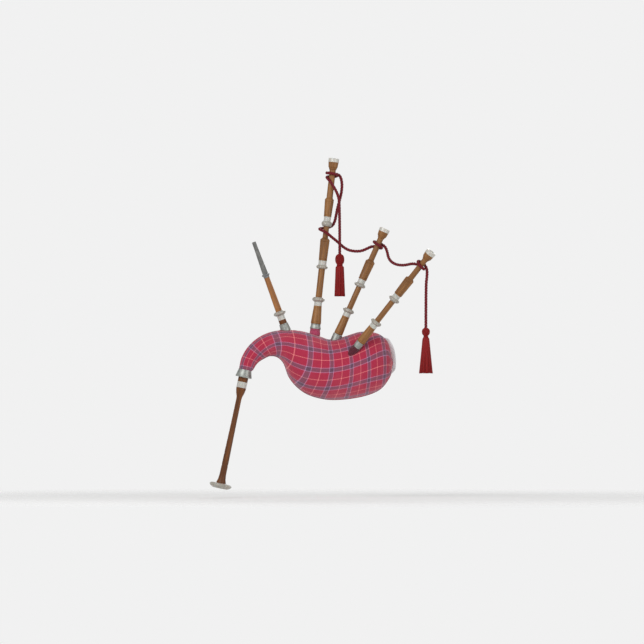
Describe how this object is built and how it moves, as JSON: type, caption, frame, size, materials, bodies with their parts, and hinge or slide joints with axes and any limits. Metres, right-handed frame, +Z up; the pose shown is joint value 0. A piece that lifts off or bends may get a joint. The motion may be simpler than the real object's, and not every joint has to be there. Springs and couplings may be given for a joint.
{
  "type": "bagpipes",
  "caption": "Highland bagpipes: tartan-covered bag with chanter, blowpipe, bass drone, tenor drones, and a tasselled drone cord.",
  "frame": {"origin": "lowest point of the bag on its mid-plane, where the player's arm or a stand's cradle holds it", "axes": "+Z up along the bass drone, -X to the chanter and the player's front, -Y to the outer side of the bag"},
  "size_m": [0.834, 0.3024, 1.2291],
  "materials": {
    "tartan_cloth": "woven wool tartan",
    "collar_cloth": "woven wool",
    "hide": "pale matt leather",
    "drone_wood": "oiled, turned hardwood",
    "stock_wood": "dark stained hardwood",
    "blowstick_wood": "oiled, turned hardwood",
    "chanter_wood": "dark oiled hardwood",
    "pale_mount": "polished imitation ivory",
    "grey_ferrule": "satin cast metal",
    "mouthpiece_plastic": "moulded",
    "ring_cap_ivory": "polished imitation ivory",
    "cord_silk": "twisted silk cord",
    "tassel_silk": "silk fringe",
    "hemp": "waxed hemp thread",
    "cane": "split cane",
    "valve_rubber": "black rubber",
    "valve_brass": "turned"
  },
  "bodies": {
    "bag": {"bag_cover": "tartan_cloth", "bag_hide": "hide", "seam_welt": "hide", "cover_collars": "collar_cloth", "drone_stock_ferrules": "grey_ferrule", "drone_stock_ties": "hemp", "drone_cord": "cord_silk", "cord_tassel_knots": "tassel_silk", "cord_tassel_skirts": "tassel_silk", "bass_stock": "stock_wood", "inner_tenor_stock": "stock_wood", "outer_tenor_stock": "stock_wood"},
    "neck": {"neck_cover": "tartan_cloth", "neck_hide": "hide", "chanter_stock": "chanter_wood", "chanter_stock_collar": "grey_ferrule", "chanter_stock_ferrule": "pale_mount", "chanter_stock_tie": "hemp"},
    "chanter": {"chanter_body": "chanter_wood", "chanter_sole": "pale_mount", "chanter_hemp": "hemp", "chanter_reed": "cane"},
    "blow_stock": {"blowpipe_stock": "chanter_wood", "blowpipe_stock_ferrules": "grey_ferrule", "blowpipe_stock_tie": "hemp", "valve_seat": "valve_brass"},
    "valve": {"valve_flap": "valve_rubber"},
    "blow_stick": {"blowstick": "blowstick_wood", "blowstick_mounts": "pale_mount", "blowstick_hemp": "hemp"},
    "mouthpiece": {"mouthpiece": "mouthpiece_plastic"},
    "bass_lower": {"bass_lower": "drone_wood", "bass_lower_mounts": "pale_mount", "bass_lower_hemp": "hemp", "bass_reed": "cane"},
    "bass_tongue": {"bass_reed_tongue": "cane"},
    "bass_middle": {"bass_middle": "drone_wood", "bass_middle_mounts": "pale_mount", "bass_middle_hemp": "hemp"},
    "bass_top": {"bass_top": "drone_wood", "bass_top_mounts": "pale_mount", "bass_ring_cap": "ring_cap_ivory"},
    "inner_tenor_lower": {"inner_tenor_lower": "drone_wood", "inner_tenor_lower_mounts": "pale_mount", "inner_tenor_lower_hemp": "hemp", "inner_tenor_reed": "cane"},
    "inner_tenor_tongue": {"inner_tenor_reed_tongue": "cane"},
    "inner_tenor_top": {"inner_tenor_top": "drone_wood", "inner_tenor_top_mounts": "pale_mount", "inner_tenor_ring_cap": "ring_cap_ivory"},
    "outer_tenor_lower": {"outer_tenor_lower": "drone_wood", "outer_tenor_lower_mounts": "pale_mount", "outer_tenor_lower_hemp": "hemp", "outer_tenor_reed": "cane"},
    "outer_tenor_tongue": {"outer_tenor_reed_tongue": "cane"},
    "outer_tenor_top": {"outer_tenor_top": "drone_wood", "outer_tenor_top_mounts": "pale_mount", "outer_tenor_ring_cap": "ring_cap_ivory"}
  },
  "joints": [
    {"name": "neck_flex", "type": "hinge", "parent": "bag", "child": "neck", "pos_m": [-0.288, 0, 0.18], "axis": [0, 1, 0], "range_deg": [-18, 18], "stiffness_Nm_per_rad": 4, "springref_deg": 3.47, "deforming": ["neck_cover", "neck_hide"]},
    {"name": "chanter_turn", "type": "hinge", "parent": "neck", "child": "chanter", "pos_m": [-0.33747, 0, 0.05631], "axis": [-0.2079, 0, -0.9781], "continuous": true},
    {"name": "blowpipe_tilt", "type": "hinge", "parent": "bag", "child": "blow_stock", "pos_m": [-0.175, 0, 0.2615], "axis": [0, 1, 0], "range_deg": [-6, 6], "stiffness_Nm_per_rad": 4, "springref_deg": 0.59},
    {"name": "valve_hinge", "type": "hinge", "parent": "blow_stock", "child": "valve", "pos_m": [-0.14144, 0, 0.19326], "axis": [0, -1, 0], "range_deg": [0, 50], "stiffness_Nm_per_rad": 0.002, "springref_deg": -20.05},
    {"name": "blowstick_turn", "type": "hinge", "parent": "blow_stock", "child": "blow_stick", "pos_m": [-0.19039, 0, 0.30379], "axis": [-0.342, 0, 0.9397], "continuous": true},
    {"name": "mouthpiece_turn", "type": "hinge", "parent": "blow_stick", "child": "mouthpiece", "pos_m": [-0.24682, 0, 0.45884], "axis": [-0.342, 0, 0.9397], "continuous": true},
    {"name": "bass_lower_turn", "type": "hinge", "parent": "bag", "child": "bass_lower", "pos_m": [-0.06523, 0.01121, 0.26811], "axis": [0.1087, 0.0523, 0.9927], "continuous": true},
    {"name": "bass_middle_tune", "type": "slide", "parent": "bass_lower", "child": "bass_middle", "axis": [0.1087, 0.0523, 0.9927], "range_m": [-0.006, 0.008]},
    {"name": "bass_top_tune", "type": "slide", "parent": "bass_middle", "child": "bass_top", "axis": [0.1087, 0.0523, 0.9927], "range_m": [-0.006, 0.012]},
    {"name": "inner_tenor_lower_turn", "type": "hinge", "parent": "bag", "child": "inner_tenor_lower", "pos_m": [0.0124, -0.012, 0.2313], "axis": [0.4067, 0, 0.9135], "continuous": true},
    {"name": "inner_tenor_top_tune", "type": "slide", "parent": "inner_tenor_lower", "child": "inner_tenor_top", "axis": [0.4067, 0, 0.9135], "range_m": [-0.009, 0.015]},
    {"name": "outer_tenor_lower_turn", "type": "hinge", "parent": "bag", "child": "outer_tenor_lower", "pos_m": [0.093, -0.08463, 0.20448], "axis": [0.5999, -0.225, 0.7678], "continuous": true},
    {"name": "outer_tenor_top_tune", "type": "slide", "parent": "outer_tenor_lower", "child": "outer_tenor_top", "axis": [0.5999, -0.225, 0.7678], "range_m": [-0.009, 0.015]},
    {"name": "bass_tongue_beat", "type": "hinge", "parent": "bass_lower", "child": "bass_tongue", "pos_m": [-0.0644, 0.00974, 0.23989], "axis": [-0.0029, 0.9986, -0.0523], "range_deg": [-0.8, 0.8], "stiffness_Nm_per_rad": 0.004},
    {"name": "inner_tenor_tongue_beat", "type": "hinge", "parent": "inner_tenor_lower", "child": "inner_tenor_tongue", "pos_m": [0.00457, -0.012, 0.20413], "axis": [0, 1, 0], "range_deg": [-0.8, 0.8], "stiffness_Nm_per_rad": 0.004},
    {"name": "outer_tenor_tongue_beat", "type": "hinge", "parent": "outer_tenor_lower", "child": "outer_tenor_tongue", "pos_m": [0.07931, -0.07803, 0.18064], "axis": [0.0763, 0.9714, 0.225], "range_deg": [-0.8, 0.8], "stiffness_Nm_per_rad": 0.004}
  ]
}
